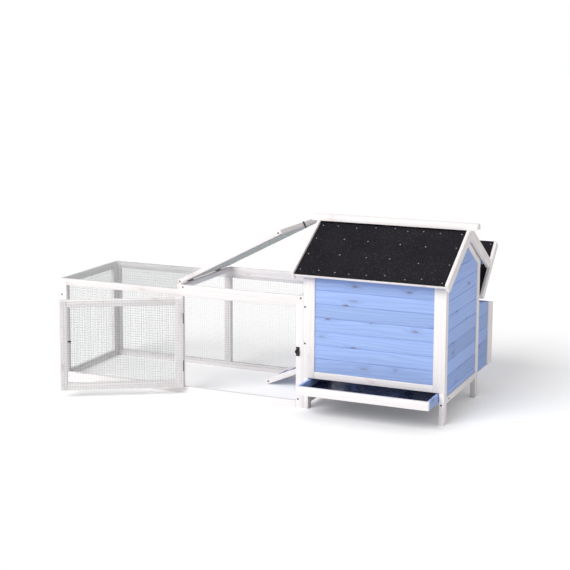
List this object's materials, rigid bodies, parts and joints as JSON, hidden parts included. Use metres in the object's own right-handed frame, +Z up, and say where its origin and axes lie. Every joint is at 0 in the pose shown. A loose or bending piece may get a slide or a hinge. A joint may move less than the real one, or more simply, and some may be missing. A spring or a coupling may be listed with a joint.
{
  "type": "chicken coop",
  "caption": "Raised chicken house with a felt roof, nest box and pull-out tray, joined to a mesh run with a door, a lid and a ramp.",
  "frame": {"origin": "on the ground, under the middle of the thickness and length of the front sill rail", "axes": "+X along the front from the run to the house, +Y from the front to the nest box, +Z up"},
  "size_m": [2.0875, 1.1524, 0.8876],
  "materials": {
    "white_timber": "white-washed fir, faint grain",
    "blue_board": "pale blue stain, grain and knots showing",
    "felt": "mineral-faced roofing felt, black with fine light grains",
    "wire": "galvanised welded wire",
    "iron": "black, semi-gloss",
    "sheet": "smooth galvanised sheet, dark in shade"
  },
  "bodies": {
    "coop": {"corner_posts": "white_timber", "front_wall_frame": "white_timber", "front_boards": "blue_board", "right_wall_frame": "white_timber", "right_boards": "blue_board", "left_wall_frame": "white_timber", "left_boards": "blue_board", "rear_wall_frame": "white_timber", "rear_boards": "blue_board", "tray_runners": "white_timber", "roof_boards": "blue_board", "roof_felt": "felt", "bargeboards": "white_timber", "eave_strips": "white_timber", "ridge_cap": "white_timber", "perch": "blue_board", "perch_brackets": "white_timber", "nest_side_boards": "blue_board", "nest_corner_trims": "white_timber", "nest_back_boards": "blue_board", "nest_floor": "white_timber", "nest_divider": "white_timber", "nest_hinge_posts": "iron", "run_front_frame": "white_timber", "run_front_mesh": "wire", "run_left_frame": "white_timber", "run_left_mesh": "wire", "run_rear_frame": "white_timber", "run_rear_mesh": "wire", "run_top_mesh": "wire", "lid_curb": "white_timber", "crossbar": "white_timber", "lid_hinge_posts": "iron", "lid_keep": "iron", "door_hinge_posts": "iron", "bolt_keep": "iron", "ramp_hinge_posts": "iron", "frame_screws": "iron"},
    "nest_lid": {"nest_lid_board": "blue_board", "nest_lid_felt": "felt", "nest_lid_frame": "white_timber", "nest_hinge_leaves": "iron"},
    "tray": {"tray_front": "white_timber", "tray_walls": "blue_board", "tray_floor": "sheet"},
    "run_lid": {"lid_frame": "white_timber", "lid_mesh": "wire", "lid_hinge_leaves": "iron", "lid_screws": "iron"},
    "latch": {"lid_latch": "iron"},
    "door": {"door_frame": "white_timber", "door_mesh": "wire", "door_hinge_leaves": "iron", "bolt_plate": "iron"},
    "bolt": {"bolt_rod": "iron"},
    "ramp": {"ramp_rails": "white_timber", "ramp_board": "blue_board", "ramp_cleats": "white_timber", "ramp_hinge_leaves": "iron", "ramp_screws": "iron"}
  },
  "joints": [
    {"name": "run_lid_hinge", "type": "hinge", "parent": "coop", "child": "run_lid", "pos_m": [-0.335, 0.265, 0.542], "axis": [0, -1, 0], "range_deg": [-27.5, 72.5]},
    {"name": "lid_latch_turn", "type": "hinge", "parent": "run_lid", "child": "latch", "pos_m": [0.20656, 0.265, 0.8379], "axis": [0.887, 0, 0.4617], "range_deg": [0, 90]},
    {"name": "run_door_hinge", "type": "hinge", "parent": "coop", "child": "door", "pos_m": [-0.3095, -0.014, 0.256], "axis": [0, 0, 1], "range_deg": [-21, 149]},
    {"name": "door_bolt_slide", "type": "slide", "parent": "door", "child": "bolt", "axis": [-0.8572, -0.515, 0], "range_m": [0, 0.025]},
    {"name": "ramp_hinge", "type": "hinge", "parent": "coop", "child": "ramp", "pos_m": [0.326, 0.401, 0.172], "axis": [0, 1, 0], "range_deg": [0, 85]},
    {"name": "tray_slide", "type": "slide", "parent": "coop", "child": "tray", "axis": [0, -1, 0], "range_m": [-0.144, 0.3]},
    {"name": "nest_lid_hinge", "type": "hinge", "parent": "coop", "child": "nest_lid", "pos_m": [0.67, 0.544, 0.49821], "axis": [1, 0, 0], "range_deg": [-52.4, 6]}
  ]
}
